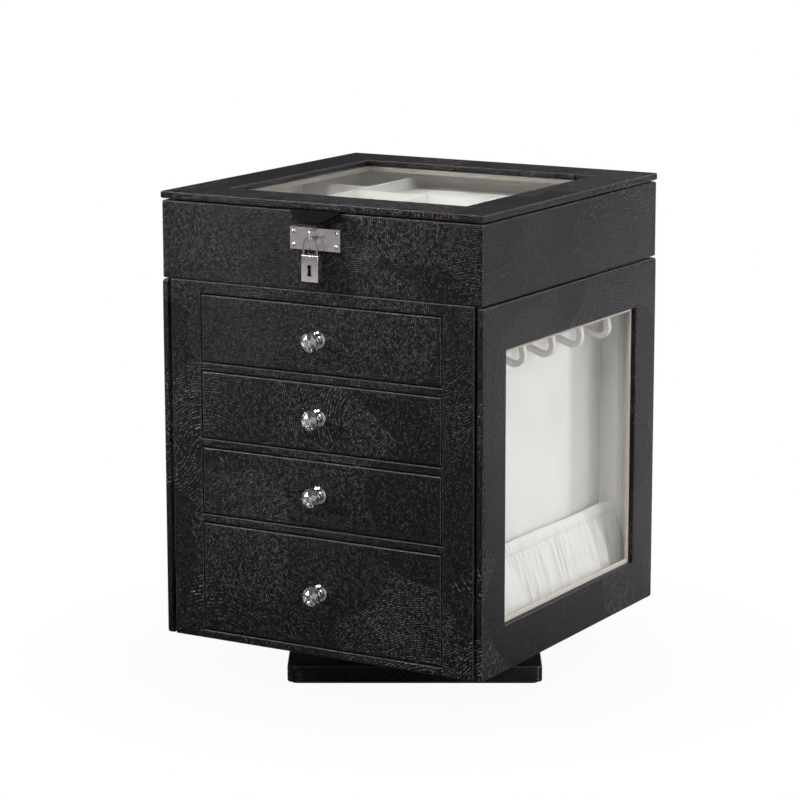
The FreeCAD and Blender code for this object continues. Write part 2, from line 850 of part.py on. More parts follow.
def make_drawers():
    for number, (bottom, top) in enumerate(drawer_openings(), start=1):
        name = "drawer_%d_" % number
        middle = (bottom + top) / 2
        save(name + "front", make_drawer_front(bottom, top))
        save(name + "box", *make_drawer_box(bottom, top))
        save(name + "knob_mount", *make_knob_mount(middle))
        save(name + "knob_crystal", make_crystal(middle))


# Jewellery tray

def make_tray_floor():
    return centred_block(tray_x, tray_y, lower_top, tray_floor_top)


def make_tray_walls():
    half = upper_width / 2
    walls = block(-half, half, front_y, back_y, lower_top, wall_top)
    walls = walls.makeFillet(edge_round, edges_along(walls, 2, upper_wall_height))
    rims = edges_in_plane(walls, 2, lower_top) + edges_in_plane(walls, 2, wall_top)
    walls = walls.makeFillet(edge_round, rims)
    walls = walls.cut(centred_block(tray_x, tray_y, lower_top, wall_top))
    recess = (door_gap - lid_gap) / 2
    for side in (-1, 1):
        walls = walls.cut(lid_hinge_pocket(side, wall_top - recess, wall_top))
    return walls


def tray_cells():
    """The open compartments of the tray, as (x0, x1, y0, y1)."""
    cells = []
    row = (2 * cell_y + tray_liner_wall) / side_cell_rows
    for i in range(side_cell_rows):
        y0 = -cell_y + i * row
        cells.append((-cell_x, cell_wall_x, y0, y0 + row - tray_liner_wall))
    x_start = cell_wall_x + tray_liner_wall
    column = (cell_x - x_start + tray_liner_wall) / front_cell_columns
    for i in range(front_cell_columns):
        x0 = x_start + i * column
        cells.append((x0, x0 + column - tray_liner_wall, -cell_y, roll_bay_y - tray_liner_wall))
    return cells


def make_tray_liner():
    """Velvet wrapped cards: a floor, four walls on it, and the dividers between the cells."""
    cards = [centred_block(liner_x, liner_y, tray_floor_top, cell_floor)]
    for near, far in ((-liner_x, -cell_x), (cell_x, liner_x)):
        cards.append(block(near, far, -liner_y, liner_y, cell_floor, liner_top))
    for near, far in ((-liner_y, -cell_y), (cell_y, liner_y)):
        cards.append(block(-cell_x, cell_x, near, far, cell_floor, liner_top))
    divider_top = liner_top - divider_drop
    wall_end = cell_wall_x + tray_liner_wall
    bay_front = roll_bay_y - tray_liner_wall
    cards.append(block(cell_wall_x, wall_end, -cell_y, cell_y, cell_floor, divider_top))
    cards.append(block(wall_end, cell_x, bay_front, roll_bay_y, cell_floor, divider_top))
    cells = tray_cells()
    for _, x1, _, y1 in cells[:side_cell_rows - 1]:
        cards.append(block(-cell_x, x1, y1, y1 + tray_liner_wall, cell_floor, divider_top))
    for _, x1, _, y1 in cells[side_cell_rows:-1]:
        cards.append(block(x1, x1 + tray_liner_wall, -cell_y, y1, cell_floor, divider_top))
    return cards


def make_ring_rolls():
    """Velvet rolls side by side, with a round top that rings are pushed down between."""
    radius = roll_width / 2
    shoulder = cell_floor + roll_height - radius
    x0 = cell_wall_x + tray_liner_wall + roll_gap
    x1 = cell_x - roll_gap
    rolls = []
    for i in range(roll_count):
        y = roll_bay_y + roll_gap + radius + i * (roll_width + roll_gap)
        outline = Part.Wire([
            line(V(x0, y - radius, cell_floor), V(x0, y + radius, cell_floor)),
            line(V(x0, y + radius, cell_floor), V(x0, y + radius, shoulder)),
            arc(V(x0, y + radius, shoulder), V(x0, y, shoulder + radius), V(x0, y - radius, shoulder)),
            line(V(x0, y - radius, shoulder), V(x0, y - radius, cell_floor)),
        ])
        rolls.append(Part.Face(outline).extrude(V(x1 - x0, 0, 0)))
    return rolls


# Lid

def make_lid_frame():
    half = upper_width / 2 + lid_overhang
    lid = block(-half, half, front_y - lid_overhang, back_y, lid_bottom, lid_top)
    lid = lid.makeFillet(edge_round, edges_along(lid, 2, lid_thickness))
    rims = edges_in_plane(lid, 2, lid_top) + edges_in_plane(lid, 2, lid_bottom)
    lid = lid.makeFillet(lid_edge_round, rims)
    lid = lid.cut(centred_block(lid_window_x, lid_window_y, lid_bottom, lid_top))
    rims = [edge for edge in edges_in_plane(lid, 2, lid_top)
            if abs(edge.CenterOfMass.x) < lid_window_x + 1e-6 and abs(edge.CenterOfMass.y) < lid_window_y + 1e-6]
    lid = lid.makeFillet(opening_edge_round, rims)
    lid = lid.cut(centred_block(lid_window_x + lid_rebate_margin, lid_window_y + lid_rebate_margin,
                                lid_bottom, lid_bottom + lid_glass_thickness))
    recess = (door_gap - lid_gap) / 2
    for side in (-1, 1):
        lid = lid.cut(lid_hinge_pocket(side, lid_bottom, lid_bottom + recess))
    return lid


def make_lid_glass():
    margin = lid_rebate_margin - glazing_clearance
    return centred_block(lid_window_x + margin, lid_window_y + margin, lid_bottom,
                         lid_bottom + lid_glass_thickness)


def make_lid_liner():
    """Lined ring below the glass, which drops inside the tray walls when the lid is shut."""
    low = lid_bottom - lid_liner_thickness
    ring = centred_block(tray_x - lid_liner_gap, tray_y - lid_liner_gap, low, lid_bottom)
    return ring.cut(centred_block(lid_window_x - lid_liner_reveal, lid_window_y - lid_liner_reveal,
                                  low, lid_bottom))


def make_pull_tab():
    """Leather tongue glued under the lid, bent down over the front edge and narrower at its tip."""
    angle = math.radians(tab_droop_deg)
    inner = tab_bend_radius
    outer = tab_bend_radius + tab_thickness
    bend_y = front_y - lid_overhang
    centre_z = lid_bottom - outer

    def around(radius, turn):
        return V(tab_offset - tab_width / 2, bend_y - radius * math.sin(turn), centre_z + radius * math.cos(turn))

    reach = V(0, -math.cos(angle), -math.sin(angle)) * tab_tongue_length
    root = V(0, tab_root_length, 0)
    outline = Part.Wire([
        line(around(outer, 0) + root, around(outer, 0)),
        arc(around(outer, 0), around(outer, angle / 2), around(outer, angle)),
        line(around(outer, angle), around(outer, angle) + reach),
        line(around(outer, angle) + reach, around(inner, angle) + reach),
        line(around(inner, angle) + reach, around(inner, angle)),
        arc(around(inner, angle), around(inner, angle / 2), around(inner, 0)),
        line(around(inner, 0), around(inner, 0) + root),
        line(around(inner, 0) + root, around(outer, 0) + root),
    ])
    tab = Part.Face(outline).extrude(V(tab_width, 0, 0))
    through = (around(outer, angle) - around(inner, angle)) * 3
    low = around(inner, angle) - through / 3
    taper = V((tab_width - tab_tip_width) / 2, 0, 0)
    wedge = Part.Face(Part.makePolygon([low, low + reach, low + reach + taper, low])).extrude(through)
    tab = tab.cut(wedge).cut(wedge.mirror(V(tab_offset, 0, 0), V(1, 0, 0)))
    tip = around(inner, angle) + reach
    corners = [edge for edge in tab.Edges if abs(edge.Length - tab_thickness) < 1e-6
               and abs((edge.CenterOfMass - tip).dot(reach) / tab_tongue_length) < 0.1]
    return tab.makeFillet(tab_corner_radius, corners)


# Lock

def make_lock_plate():
    """Thin plate with a wire staple that stands out in an upright loop."""
    half = plate_width / 2
    low = plate_centre_z - plate_height / 2
    plate = block(lock_offset - half, lock_offset + half, plate_front_y, front_y, low, low + plate_height)
    bend = staple_wire_radius * 1.6
    y_root = front_y - plate_thickness / 2
    y_tip = plate_front_y - staple_reach + staple_wire_radius
    z0 = plate_centre_z
    z1 = plate_centre_z + staple_height
    corner = bend * (1 - math.sqrt(0.5))

    def at(y, z):
        return V(lock_offset, y, z)

    path = Part.Wire([
        line(at(y_root, z0), at(y_tip + bend, z0)),
        arc(at(y_tip + bend, z0), at(y_tip + corner, z0 + corner), at(y_tip, z0 + bend)),
        line(at(y_tip, z0 + bend), at(y_tip, z1 - bend)),
        arc(at(y_tip, z1 - bend), at(y_tip + corner, z1 - corner), at(y_tip + bend, z1)),
        line(at(y_tip + bend, z1), at(y_root, z1)),
    ])
    section = Part.Wire(Part.makeCircle(staple_wire_radius, at(y_root, z0), V(0, -1, 0)))
    staple = path.makePipeShell([section], True, False)
    return plate.fuse(staple).removeSplitter()


def strap_places():
    """The x of the middle of the long leg and of the short leg."""
    reach = (shackle_width - shackle_strap_thickness) / 2
    return lock_offset - reach, lock_offset + reach


def strap_leg(x, top_z, length, clearance):
    """One leg of the strap, or with a clearance the slot that takes it."""
    half_x = shackle_strap_thickness / 2 + clearance
    half_y = shackle_strap_depth / 2 + clearance
    return block(x - half_x, x + half_x, padlock_y - half_y, padlock_y + half_y, top_z - length, top_z)


def make_padlock_shackle():
    """A flat strap bent to an arch, with one long leg that stays in the body and one short leg."""
    outer = shackle_width / 2
    arch_z = shackle_top_z - outer
    near_y = padlock_y - shackle_strap_depth / 2
    centre = V(lock_offset, near_y, arch_z)
    forward = V(0, 1, 0)
    ring = Part.makeCylinder(outer, shackle_strap_depth, centre, forward)
    ring = ring.cut(Part.makeCylinder(outer - shackle_strap_thickness, shackle_strap_depth, centre, forward))
    shackle = ring.common(block(lock_offset - outer, lock_offset + outer, near_y, near_y + shackle_strap_depth,
                                arch_z, shackle_top_z))
    for x, depth in zip(strap_places(), (shackle_long_leg, shackle_short_leg)):
        shackle = shackle.fuse(strap_leg(x, arch_z, arch_z - padlock_top_z + depth, 0))
    return shackle.removeSplitter()


def keyhole(y, depth):
    middle = padlock_top_z - padlock_height / 2 - keyhole_drop
    top = middle + keyhole_height / 2
    foot = middle - keyhole_height / 2
    bow = Part.makeCylinder(keyhole_radius, depth, V(lock_offset, y, top - keyhole_radius), V(0, 1, 0))
    waist = top - keyhole_radius
    corners = [V(lock_offset - keyhole_slot_half_width, y, waist), V(lock_offset + keyhole_slot_half_width, y, waist),
               V(lock_offset + keyhole_foot_half_width, y, foot), V(lock_offset - keyhole_foot_half_width, y, foot)]
    slot = Part.Face(Part.makePolygon(corners + corners[:1])).extrude(V(0, depth, 0))
    return bow.fuse(slot)


def make_padlock_body():
    half = padlock_width / 2
    y0 = padlock_y - padlock_thickness / 2
    body = block(lock_offset - half, lock_offset + half, y0, y0 + padlock_thickness,
                 padlock_top_z - padlock_height, padlock_top_z)
    body = body.makeFillet(padlock_edge_round, body.Edges)
    for x, depth in zip(strap_places(), (shackle_long_leg, shackle_short_leg)):
        body = body.cut(strap_leg(x, padlock_top_z, depth + latch_hole_spare_depth, shackle_hole_clearance))
    return body.cut(keyhole(y0, keyhole_depth))


def build():
    os.makedirs("parts", exist_ok=True)
    save("base_pad", make_base_pad())
    save("base_plinth", make_base_plinth())
    save("turntable_lower_plate", make_lower_plate())
    save("turntable_lower_screws", *make_lower_screws())
    save("turntable_balls", *make_balls())
    save("turntable_upper_plate", make_upper_plate())
    save("turntable_upper_screws", *make_upper_screws())
    save("bottom_board", make_bottom_board())
    save("front_frame", make_front_frame())
    save("back_panel", make_back_panel())
    save("partitions", *make_partitions())
    save("drawer_shelves", *make_drawer_shelves())
    save("side_posts", *make_side_posts())
    liner = make_compartment_liner()
    save("left_compartment_liner", mirrored(liner))
    save("right_compartment_liner", liner)
    save("necklace_hooks", *make_necklace_hooks())
    pouch = make_pouch()
    save("left_pouch", mirrored(pouch))
    save("right_pouch", pouch)
    for node, piece in (("door_frame", make_door_frame()), ("door_liner", make_door_liner()),
                        ("door_glass", make_door_glass())):
        save("left_" + node, mirrored(piece))
        save("right_" + node, piece)
    strikes = make_strikes()
    save("left_door_strikes", *[mirrored(strike) for strike in strikes])
    save("right_door_strikes", *strikes)
    save("door_magnets", *make_magnets())
    make_hinges()
    make_drawers()
    save("tray_floor", make_tray_floor())
    save("tray_walls", make_tray_walls())
    save("tray_liner", *make_tray_liner())
    save("ring_rolls", *make_ring_rolls())
    save("lid_frame", make_lid_frame())
    save("lid_glass", make_lid_glass())
    save("lid_liner", make_lid_liner())
    save("lid_pull_tab", make_pull_tab())
    save("lock_plate", make_lock_plate())
    save("padlock_shackle", make_padlock_shackle())
    save("padlock_body", make_padlock_body())


build()
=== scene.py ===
# %% [markdown]
# # A rotating jewelry organizer in black embossed leatherette
# A square cabinet turns on a small base. It has four drawers with cut crystal knobs,
# two glazed side doors over cream compartments with hooks and a gathered pouch, and a
# glazed lid over a lined tray. The boards, hinges and fittings come from the CAD frame.
# This notebook gives them their finishes and makes the soft parts: the two gathered
# pouches, the velvet ring rolls and the pad under the base.

# %% Load the frame and note its size
import math

import bmesh
import bpy
from mathutils import Matrix, Vector, noise


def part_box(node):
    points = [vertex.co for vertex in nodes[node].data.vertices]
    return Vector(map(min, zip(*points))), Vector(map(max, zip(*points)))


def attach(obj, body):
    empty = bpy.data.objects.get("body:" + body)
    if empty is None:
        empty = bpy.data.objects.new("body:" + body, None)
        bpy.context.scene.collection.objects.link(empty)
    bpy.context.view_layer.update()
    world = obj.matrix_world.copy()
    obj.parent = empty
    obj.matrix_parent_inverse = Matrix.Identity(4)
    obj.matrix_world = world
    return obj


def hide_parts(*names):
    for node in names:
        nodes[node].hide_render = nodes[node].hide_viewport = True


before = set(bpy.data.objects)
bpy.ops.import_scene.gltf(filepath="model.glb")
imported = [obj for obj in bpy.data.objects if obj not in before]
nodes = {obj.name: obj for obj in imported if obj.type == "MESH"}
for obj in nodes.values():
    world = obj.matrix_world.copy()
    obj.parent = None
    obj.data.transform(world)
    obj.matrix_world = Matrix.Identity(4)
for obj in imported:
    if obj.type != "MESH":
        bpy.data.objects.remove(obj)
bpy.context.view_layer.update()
mm = 0.001

# %% [markdown]
# ## Camera
# A product photographer stands well back with a long lens, so that upright edges stay
# nearly parallel. The camera is set by its turn round the object, its height angle and
# its distance, which are easier to read than a matrix. A tiny roll levels the picture.

# %% Place the camera
view_turn = math.radians(30.233)
view_height = math.radians(11.341)
view_roll = math.radians(-0.063)
view_distance = 2.2285
view_aim = Vector((0.0, 0.0, 0.1866))
view_shift_right = -10.7 * mm
view_shift_up = 2.1 * mm
picture_side = 800
sensor_width = 36.0
focal_pixels = 3049.3

backward = Vector((math.cos(view_height) * math.sin(view_turn),
                   -math.cos(view_height) * math.cos(view_turn),
                   math.sin(view_height)))
level_right = Vector((math.cos(view_turn), math.sin(view_turn), 0.0))
level_up = backward.cross(level_right)
right = level_right * math.cos(view_roll) + level_up * math.sin(view_roll)
up = level_up * math.cos(view_roll) - level_right * math.sin(view_roll)

camera_data = bpy.data.cameras.new("camera")
camera_data.sensor_width = sensor_width
camera_data.lens = focal_pixels * sensor_width / picture_side
camera = bpy.data.objects.new("camera", camera_data)
bpy.context.scene.collection.objects.link(camera)
place = view_aim + backward * view_distance + right * view_shift_right + up * view_shift_up
turn = Matrix((right, up, backward)).transposed().to_4x4()
camera.matrix_world = Matrix.Translation(place) @ turn
bpy.context.scene.camera = camera
print("lens in millimetres:", round(camera_data.lens, 1))

# %% [markdown]
# ## Light
# A small lamp from the upper left is the key: its size sets how hard the shadows of the
# knobs are. A softbox beside it lights the folded edges, one above lights the lid, and one
# on the right lights the door. A small lamp from the right rear rakes along the door's
# leatherette, to bring out its grain. Each lamp has a direction and a distance.

# %% Hang the lamps
def softbox(name, towards, distance, width, height, power, colour=(1.0, 1.0, 1.0)):
    """An area lamp that looks at the cabinet's middle from a direction."""
    lamp = bpy.data.lights.new(name, "AREA")
    lamp.shape = "RECTANGLE"
    lamp.size = width
    lamp.size_y = height
    lamp.energy = power
    lamp.color = colour
    holder = bpy.data.objects.new(name, lamp)
    bpy.context.scene.collection.objects.link(holder)
    direction = Vector(towards).normalized()
    holder.location = view_aim + direction * distance
    holder.rotation_euler = direction.to_track_quat("Z", "Y").to_euler()
    print(name, "power in watts:", power)


softbox("key_lamp", (-0.80, -0.39, 0.45), 1.5, 0.18, 0.18, 27.0, (1.0, 0.985, 0.96))
softbox("edge_softbox", (-0.50, -0.58, 0.64), 2.2, 0.5, 0.5, 11.0)
softbox("top_softbox", (0.28, -0.48, 0.83), 2.2, 1.0, 1.0, 27.0)
softbox("right_softbox", (0.95, -0.10, 0.30), 2.2, 1.4, 1.6, 19.0, (0.97, 0.95, 1.0))
softbox("raking_lamp", (0.72, 0.60, 0.30), 2.2, 0.32, 0.32, 17.0)

# %% [markdown]
# ## A lamp for the tray
# The lid's frame shades the tray under it. A photographer would put a snoot, a narrow tube,
# on a lamp, so that a small pool of light falls through the window alone. A spot lamp with
# a narrow cone does the same.

# %% Aim a snooted lamp through the lid's window
snoot_aim = Vector((0.0, 0.0, 0.31))
snoot_distance = 1.6
snoot_cone_deg = 6.4

snoot = bpy.data.lights.new("tray_snoot", "SPOT")
snoot.energy = 95.0
snoot.spot_size = math.radians(snoot_cone_deg)
snoot.spot_blend = 0.35
snoot.shadow_soft_size = 0.03
snoot_holder = bpy.data.objects.new("tray_snoot", snoot)
bpy.context.scene.collection.objects.link(snoot_holder)
snoot_direction = Vector((0.28, -0.70, 0.66)).normalized()
snoot_holder.location = snoot_aim + snoot_direction * snoot_distance
snoot_holder.rotation_euler = snoot_direction.to_track_quat("Z", "Y").to_euler()
print("snoot cone in degrees:", snoot_cone_deg)

# %% [markdown]
# ## World
# The world is the light that comes from everywhere else. Its strength is given by nodes
# further on. The Standard view leaves colours as they are written.

# %% Add the world
world = bpy.data.worlds.new("studio")
bpy.context.scene.world = world
world.use_nodes = True
sky = world.node_tree.nodes["Background"]
sky.inputs["Color"].default_value = (1.0, 1.0, 1.0, 1.0)
bpy.context.scene.view_settings.view_transform = "Standard"
print("view transform:", bpy.context.scene.view_settings.view_transform)

# %% [markdown]
# ## Node helpers
# A material is a small graph. Short helpers keep each recipe readable: they start a
# material, add a node with its settings and inputs, link the shader to the output, do
# sums, and map one range of values to another.

# %% Make nodes in one line each
def start_material(name):
    material = bpy.data.materials.new(name)
    material.use_nodes = True
    tree = material.node_tree
    tree.nodes.clear()
    return material, tree


def add_node(tree, kind, inputs=None, **settings):
    """Adds a node. An input is a value, or another node's socket to link from."""
    made = tree.nodes.new(kind)
    for key, value in settings.items():
        setattr(made, key, value)
    for key, value in (inputs or {}).items():
        if isinstance(value, bpy.types.NodeSocket):
            tree.links.new(value, made.inputs[key])
        else:
            made.inputs[key].default_value = value
    return made


def finish_material(tree, shader):
    output = tree.nodes.new("ShaderNodeOutputMaterial")
    tree.links.new(shader.outputs[0], output.inputs["Surface"])


def math_node(tree, operation, a, b=0.0, c=0.0):
    return add_node(tree, "ShaderNodeMath", {0: a, 1: b, 2: c}, operation=operation).outputs[0]


def in_range(tree, value, low, high, to_low, to_high):
    inputs = {"Value": value, "From Min": low, "From Max": high, "To Min": to_low, "To Max": to_high}
    return add_node(tree, "ShaderNodeMapRange", inputs).outputs["Result"]


print("node helpers are ready")

# %% [markdown]
# ## A white background and a dim studio
# A white world would light the object far too much. Light Path tells the rays apart: what
# the camera sees, also through glass, is white, and the cabinet gets a dim studio that is
# brighter towards the right and the rear.

# %% Make the world white to the camera and dim to the cabinet
world_dim_side = 0.06
world_bright_side = 0.70


def studio_light(tree, dim_side, bright_side):
    """Brighter towards the right and the rear, where the pale sweep stands."""
    direction = add_node(tree, "ShaderNodeTexCoord").outputs["Generated"]
    sweep = Vector((0.95, 0.30, 0.0)).normalized()
    facing = add_node(tree, "ShaderNodeVectorMath", {0: direction, 1: sweep}, operation="DOT_PRODUCT")
    return in_range(tree, facing.outputs["Value"], -0.3, 0.8, dim_side, bright_side)


world_tree = world.node_tree
path = add_node(world_tree, "ShaderNodeLightPath")
seen = math_node(world_tree, "MAXIMUM", path.outputs["Is Camera Ray"], path.outputs["Is Transmission Ray"])
dim_studio = studio_light(world_tree, world_dim_side, world_bright_side)
world_tree.links.new(in_range(world_tree, seen, 0.0, 1.0, dim_studio, 1.0), sky.inputs["Strength"])
print("world strength from", world_dim_side, "to", world_bright_side)

# %% [markdown]
# ## Floor
# The cabinet stands on a seamless pale sheet. Part of the sheet's brightness is given to
# the camera alone, so it reads as white without throwing more light on the object, and
# the rest is a plain matt surface that keeps the shadow.

# %% Lay the floor
floor_dark = 0.10
floor_far_grey = 0.36
floor_rear_grey = 0.72


def pale_floor():
    material, tree = start_material("pale_floor")
    place = add_node(tree, "ShaderNodeTexCoord").outputs["Object"]
    away = add_node(tree, "ShaderNodeVectorMath", {0: place}, operation="LENGTH").outputs["Value"]
    rearward = add_node(tree, "ShaderNodeSeparateXYZ", {"Vector": place}).outputs["Y"]
    grey = math_node(tree, "MAXIMUM", in_range(tree, away, 0.5, 1.5, floor_dark, floor_far_grey),
                     in_range(tree, rearward, -0.1, 0.4, floor_dark, floor_rear_grey))
    matt = add_node(tree, "ShaderNodeBsdfDiffuse", {"Color": grey})
    white = add_node(tree, "ShaderNodeEmission", {"Color": (1.0, 1.0, 1.0, 1.0), "Strength": 1.0})
    path = add_node(tree, "ShaderNodeLightPath")
    whiteness = in_range(tree, away, 0.13, 0.30, 0.95, 1.0)
    seen = math_node(tree, "MAXIMUM", path.outputs["Is Camera Ray"], path.outputs["Is Transmission Ray"])
    share = math_node(tree, "MULTIPLY", seen, whiteness)
    mixed = add_node(tree, "ShaderNodeMixShader", {0: share, 1: matt.outputs[0], 2: white.outputs[0]})
    finish_material(tree, mixed)
    return material


floor_half_width = 6.0
floor_shape = bmesh.new()
bmesh.ops.create_grid(floor_shape, x_segments=1, y_segments=1, size=floor_half_width)
floor_mesh = bpy.data.meshes.new("floor")
floor_shape.to_mesh(floor_mesh)
floor_shape.free()
floor = bpy.data.objects.new("floor", floor_mesh)
bpy.context.scene.collection.objects.link(floor)
floor_mesh.materials.append(pale_floor())
print("floor half width in metres:", floor_half_width)

# %% [markdown]
# ## Embossed leatherette
# The black skin is a coated cloth, pressed with large round petals that lie over each
# other. Inside each petal short hairlines run along wide arcs, and a pebble grain lies
# between them. A Voronoi texture gives each petal a centre and a random number. Three
# layers are stacked: an upper layer covers the lower one only inside its round petals,
# so the petals' edges are arcs too. The hairlines of a petal are rings about a point far
# to one side of it.

# %% Lay the petals
petal_size = 118 * mm
petal_reach = 0.43
petal_edge = 0.002
ring_offset = 85 * mm


def blend(tree, low, high, share):
    return add_node(tree, "ShaderNodeMix", {0: share, 2: low, 3: high}).outputs[0]


def vector_math(tree, operation, a, b=(0.0, 0.0, 0.0)):
    return add_node(tree, "ShaderNodeVectorMath", {0: a, 1: b}, operation=operation).outputs[0]


def petal_layer(tree, place, number):
    """How far out in its petal a point is, its distance from the rings' centre, and a tone."""
    moved = vector_math(tree, "ADD", place, (0.371 * number, 0.733 * number, 0.197 * number))
    cells = add_node(tree, "ShaderNodeTexVoronoi", {"Vector": moved, "Scale": 1.0 / petal_size})
    spread = vector_math(tree, "SUBTRACT", cells.outputs["Color"], (0.5, 0.5, 0.5))
    aside = vector_math(tree, "NORMALIZE", spread)
    moved_off = add_node(tree, "ShaderNodeVectorMath", {0: aside, "Scale": ring_offset}, operation="SCALE")
    centre = vector_math(tree, "ADD", cells.outputs["Position"], moved_off.outputs[0])
    ring = add_node(tree, "ShaderNodeVectorMath", {0: moved, 1: centre}, operation="DISTANCE")
    tone = add_node(tree, "ShaderNodeSeparateColor", {"Color": cells.outputs["Color"]})
    return cells.outputs["Distance"], ring.outputs["Value"], tone.outputs["Red"]


def petal_stack(tree, place):
    """Three layers of petals, each over the one before."""
    _, ring, tone = petal_layer(tree, place, 0)
    for number in (1, 2):
        reach, over_ring, over_tone = petal_layer(tree, place, number)
        cover = in_range(tree, reach, petal_reach - petal_edge, petal_reach, 1.0, 0.0)
        ring = blend(tree, ring, over_ring, cover)
        tone = blend(tree, tone, over_tone, cover)
    return ring, tone


print("petal size in millimetres:", round(petal_size / mm))

# %% [markdown]
# ## The skin over the petals
# A sine of the distance from the rings' centre draws the hairlines, and noise breaks them
# into dashes. A wider noise presses some spots deeper than others. The raised parts are
# painted paler, as painted highlights in place of the grain's glints, stronger in some
# petals than in others. Where the skin is folded over a board's rounded edge it gets a
# painted highlight too. The lid's pull tab has a smoother skin without that painted edge
# highlight, and a darker copy of the colour, which is painted shade.

# %% Mix the leatherette
arc_spacing = 1.35 * mm
dash_size = 1.7 * mm
pebble_size = 0.95 * mm
mottle_size = 3.4 * mm
wobble_size = 11.0 * mm
emboss_depth = 0.7 * mm
raised_highlight_gain = 9.5
sunk_share = 0.25


def folded_edge(tree):
    """How far the surface leans between two of the cabinet's directions, as on a rounded edge."""
    normal = vector_math(tree, "ABSOLUTE", add_node(tree, "ShaderNodeTexCoord").outputs["Normal"])
    axes = add_node(tree, "ShaderNodeSeparateXYZ", {"Vector": normal})
    larger = math_node(tree, "MAXIMUM", axes.outputs["Y"], axes.outputs["Z"])
    flat = math_node(tree, "MAXIMUM", axes.outputs["X"], larger)
    return in_range(tree, flat, 0.74, 0.88, 1.0, 0.0)


def leatherette(name, colour, roughness, depth, edge_highlight_gain):
    """Embossed skin: raised parts are painted paler, and folded edges get a painted highlight."""
    material, tree = start_material(name)
    place = add_node(tree, "ShaderNodeTexCoord").outputs["Object"]
    ring, tone = petal_stack(tree, place)
    wobble = add_node(tree, "ShaderNodeTexNoise",
                      {"Vector": place, "Scale": 1.0 / wobble_size, "Detail": 1.0})
    turns = math_node(tree, "MULTIPLY", ring, 2.0 * math.pi / arc_spacing)
    bent = math_node(tree, "ADD", turns, in_range(tree, wobble.outputs["Fac"], 0.0, 1.0, -4.0, 4.0))
    lines = in_range(tree, math_node(tree, "SINE", bent), -0.3, 1.0, 0.0, 1.0)
    breaks = add_node(tree, "ShaderNodeTexNoise", {"Vector": place, "Scale": 1.0 / dash_size, "Detail": 2.0})
    dashes = math_node(tree, "MULTIPLY", lines, in_range(tree, breaks.outputs["Fac"], 0.42, 0.58, 0.0, 1.0))
    pebbles = add_node(tree, "ShaderNodeTexVoronoi", {"Vector": place, "Scale": 1.0 / pebble_size})
    grain = in_range(tree, pebbles.outputs["Distance"], 0.08, 0.46, 1.0, 0.0)
    mixed = blend(tree, grain, dashes, in_range(tree, tone, 0.1, 0.6, 0.2, 0.66))
    mottle = add_node(tree, "ShaderNodeTexNoise",
                      {"Vector": place, "Scale": 1.0 / mottle_size, "Detail": 1.0})
    pressed = in_range(tree, mottle.outputs["Fac"], 0.36, 0.64, 0.45, 1.45)
    height = math_node(tree, "MULTIPLY", math_node(tree, "MULTIPLY", mixed, pressed),
                       in_range(tree, tone, 0.1, 0.8, depth * 0.38, depth))
    bump = add_node(tree, "ShaderNodeBump", {"Height": height, "Strength": 1.0, "Distance": emboss_depth})
    # Painted highlight: the raised grain is made paler in the colour, in place of the glints it would catch.
    squared = math_node(tree, "MULTIPLY", height, height)
    shade = math_node(tree, "MULTIPLY_ADD", squared, raised_highlight_gain, sunk_share)
    # Painted highlight along rounded edges, where the skin is folded over a board.
    painted_edge_highlight = math_node(tree, "MULTIPLY", folded_edge(tree), edge_highlight_gain)
    painted_highlights = math_node(tree, "MULTIPLY_ADD", painted_edge_highlight, math_node(tree, "ADD", grain, 0.2), shade)
    tint = add_node(tree, "ShaderNodeVectorMath", {0: colour, "Scale": painted_highlights}, operation="SCALE")
    gloss = in_range(tree, tone, 0.0, 1.0, roughness + 0.08, roughness - 0.04)
    shader = add_node(tree, "ShaderNodeBsdfPrincipled",
                      {"Base Color": tint.outputs[0], "Roughness": gloss, "Normal": bump.outputs[0],
                       "Specular IOR Level": 0.21, "Specular Tint": (1.0, 0.93, 1.0, 1.0)})
    finish_material(tree, shader)
    return material


black_leatherette = leatherette("black_leatherette", (0.0110, 0.0098, 0.0106), 0.29, 1.25, 24.0)
# The tab's copy of the leatherette is darker in colour: painted shade.
shaded_tab_leather = leatherette("shaded_tab_leather", (0.0030, 0.0027, 0.0030), 0.42, 0.2, 0.0)
print("leatherette nodes:", len(black_leatherette.node_tree.nodes))

# %% [markdown]
# ## Cream lining
# The tray, the drawers and the compartments are lined with short-pile velvet. Pile
# scatters light at its edges, so it has sheen, and a very fine noise breaks it up. Wider
# noise gives the soft cloudiness where the pile was brushed one way or the other. The
# pouches are a thin satin, whose weave follows the cloth's own UV map.

# %% Mix the velvet and the pouch cloth
def velvet(name, colour, pile_size=0.5 * mm, bump_strength=0.35):
    material, tree = start_material(name)
    place = add_node(tree, "ShaderNodeTexCoord").outputs["Object"]
    pile = add_node(tree, "ShaderNodeTexNoise", {"Vector": place, "Scale": 1.0 / pile_size, "Detail": 2.0})
    brushed = add_node(tree, "ShaderNodeTexNoise", {"Vector": place, "Scale": 26.0, "Detail": 3.0})
    cloud = in_range(tree, brushed.outputs["Fac"], 0.3, 0.7, 0.94, 1.03)
    fleck = in_range(tree, pile.outputs["Fac"], 0.25, 0.75, 0.93, 1.05)
    shade = math_node(tree, "MULTIPLY", cloud, fleck)
    tint = add_node(tree, "ShaderNodeVectorMath", {0: colour, "Scale": shade}, operation="SCALE")
    bump = add_node(tree, "ShaderNodeBump", {"Height": pile.outputs["Fac"], "Strength": bump_strength,
                                             "Distance": 0.15 * mm})
    shader = add_node(tree, "ShaderNodeBsdfPrincipled", {
        "Base Color": tint.outputs[0], "Roughness": 0.9, "Normal": bump.outputs[0],
        "Sheen Weight": 0.3, "Sheen Roughness": 0.4, "Specular IOR Level": 0.2})
    finish_material(tree, shader)
    return material


